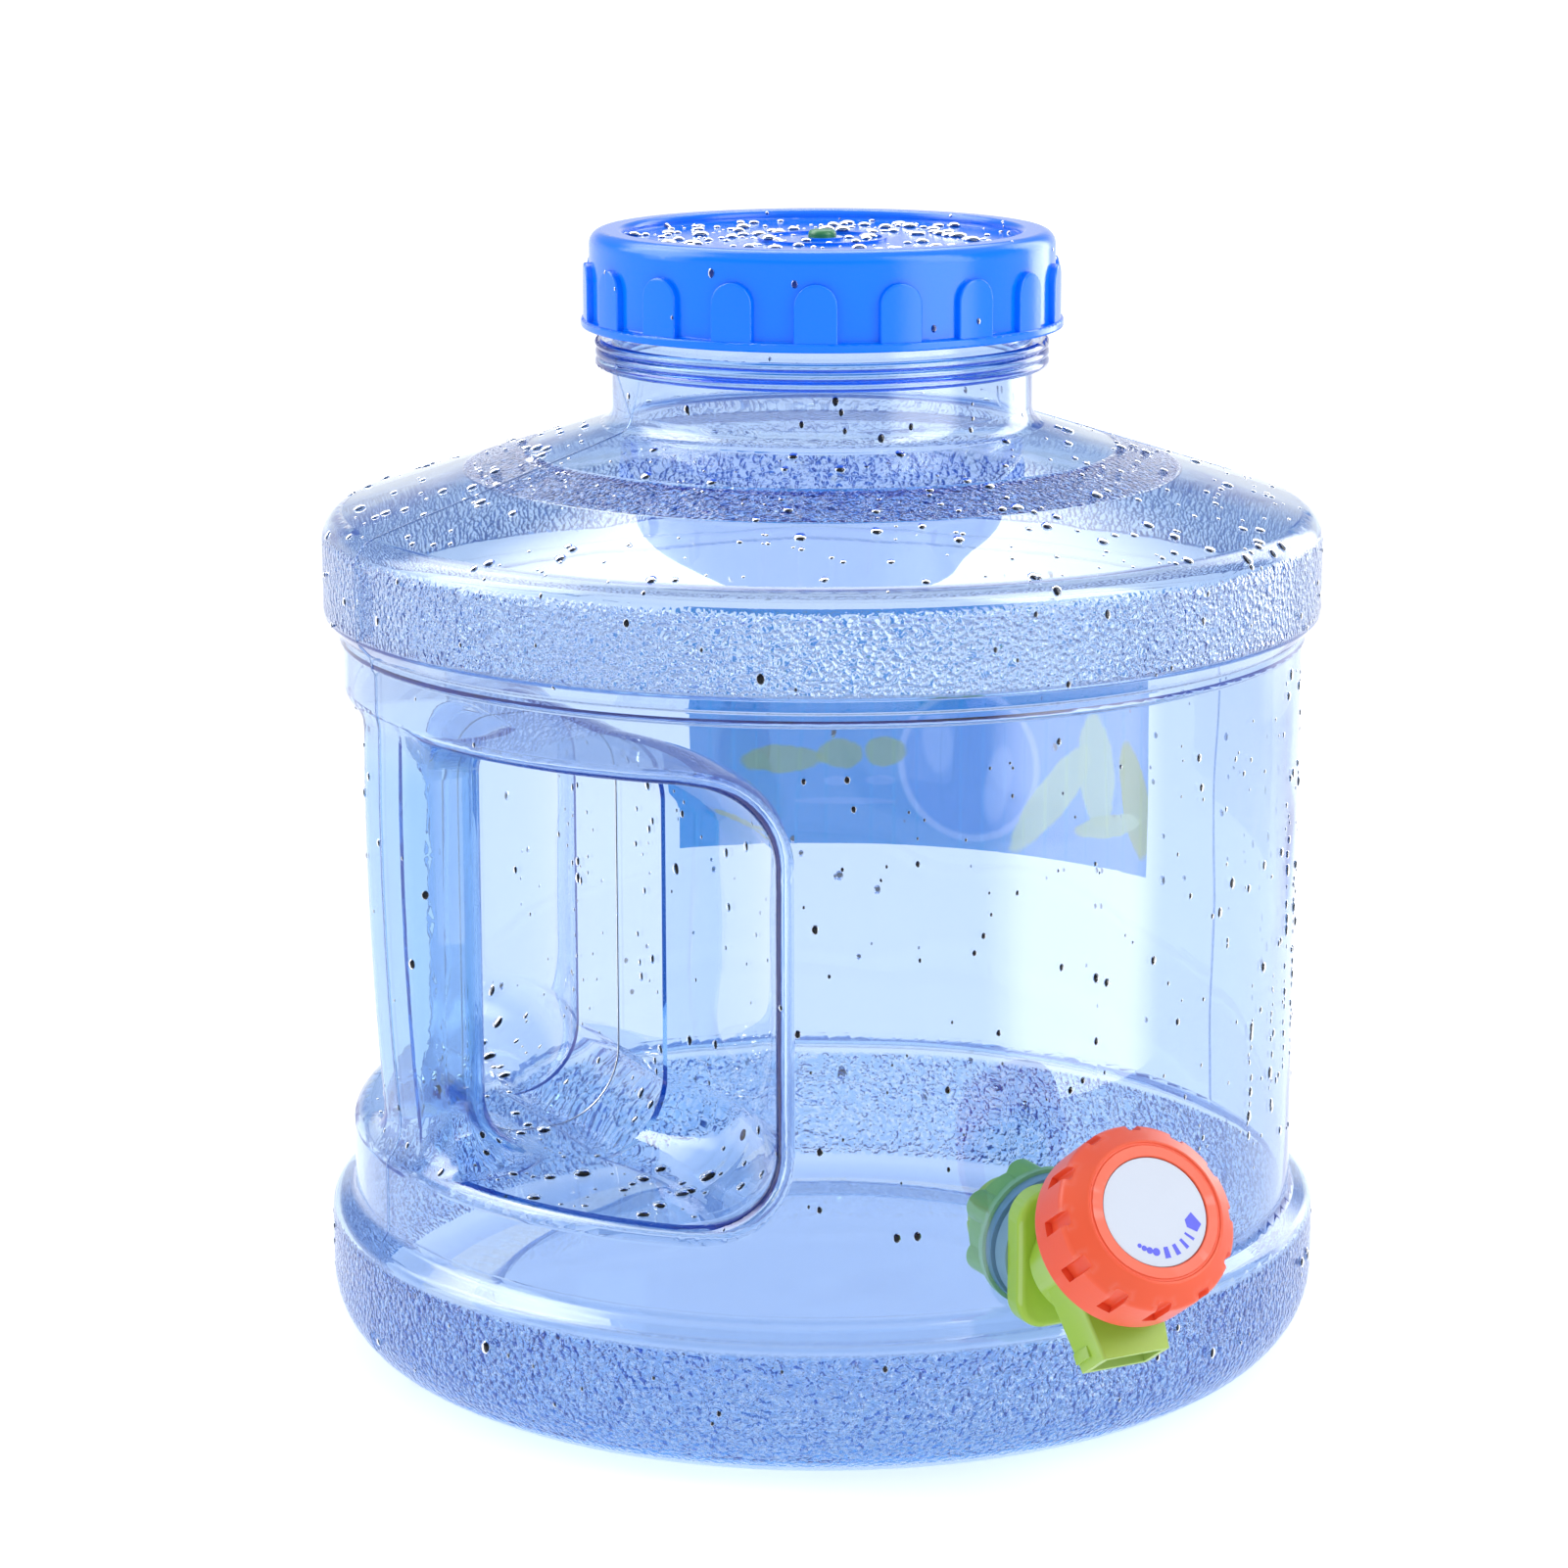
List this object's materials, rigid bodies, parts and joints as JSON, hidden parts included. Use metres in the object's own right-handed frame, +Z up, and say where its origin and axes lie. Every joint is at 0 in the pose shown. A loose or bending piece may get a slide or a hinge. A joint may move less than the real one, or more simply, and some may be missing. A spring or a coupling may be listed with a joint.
{
  "type": "large water jug",
  "caption": "Free-standing wide-mouth water jug in clear blue plastic with a moulded-in side grip, a ribbed screw cap with a vent plug, and a rotary tap near the base.",
  "frame": {"origin": "on the jug's vertical axis, on the surface that it stands on", "axes": "+Z up, the tap faces -Y, the moulded-in grip is on the -X side"},
  "size_m": [0.2684, 0.3193, 0.2998],
  "materials": {
    "clear_body": "clear blue-tinted polycarbonate, polished walls and pebbled bands",
    "label": "printed film",
    "cap": "moulded gloss plastic",
    "white_rubber": "soft silicone",
    "vent": "soft silicone",
    "tap": "satin moulded plastic",
    "tap_rubber": "soft rubber",
    "nut": "satin moulded plastic",
    "knob": "satin moulded plastic",
    "dial": "printed disc",
    "valve": "moulded acetal",
    "screw": "stainless steel"
  },
  "bodies": {
    "jug": {"jug_body": "clear_body", "label_film": "label", "tap_body": "tap", "tap_outer_gasket": "tap_rubber", "tap_inner_gasket": "tap_rubber", "lock_nut": "nut", "valve_retainer": "valve"},
    "cap_seal": {"cap_gasket": "white_rubber"},
    "cap": {"cap_shell": "cap"},
    "vent": {"vent_plug": "vent"},
    "tap_handle": {"knob": "knob", "knob_screw": "screw", "knob_dial": "dial", "valve_core": "valve", "core_seals": "tap_rubber"}
  },
  "joints": [
    {"name": "cap_lift", "type": "slide", "parent": "jug", "child": "cap_seal", "axis": [0, 0, 1], "range_m": [0, 0.0076]},
    {"name": "cap_turn", "type": "hinge", "parent": "cap_seal", "child": "cap", "pos_m": [0, 0, 0.285], "axis": [0, 0, 1], "range_deg": [0, 450]},
    {"name": "vent_pull", "type": "slide", "parent": "cap", "child": "vent", "axis": [0, 0, 1], "range_m": [0, 0.008]},
    {"name": "knob_turn", "type": "hinge", "parent": "jug", "child": "tap_handle", "pos_m": [0, -0.1423, 0.0587], "axis": [0, -0.8241, 0.5664], "range_deg": [0, 90]}
  ],
  "couplings": [
    {"joint": "cap_lift", "follows": "cap_turn", "m_per_rad": 0.00095493}
  ]
}
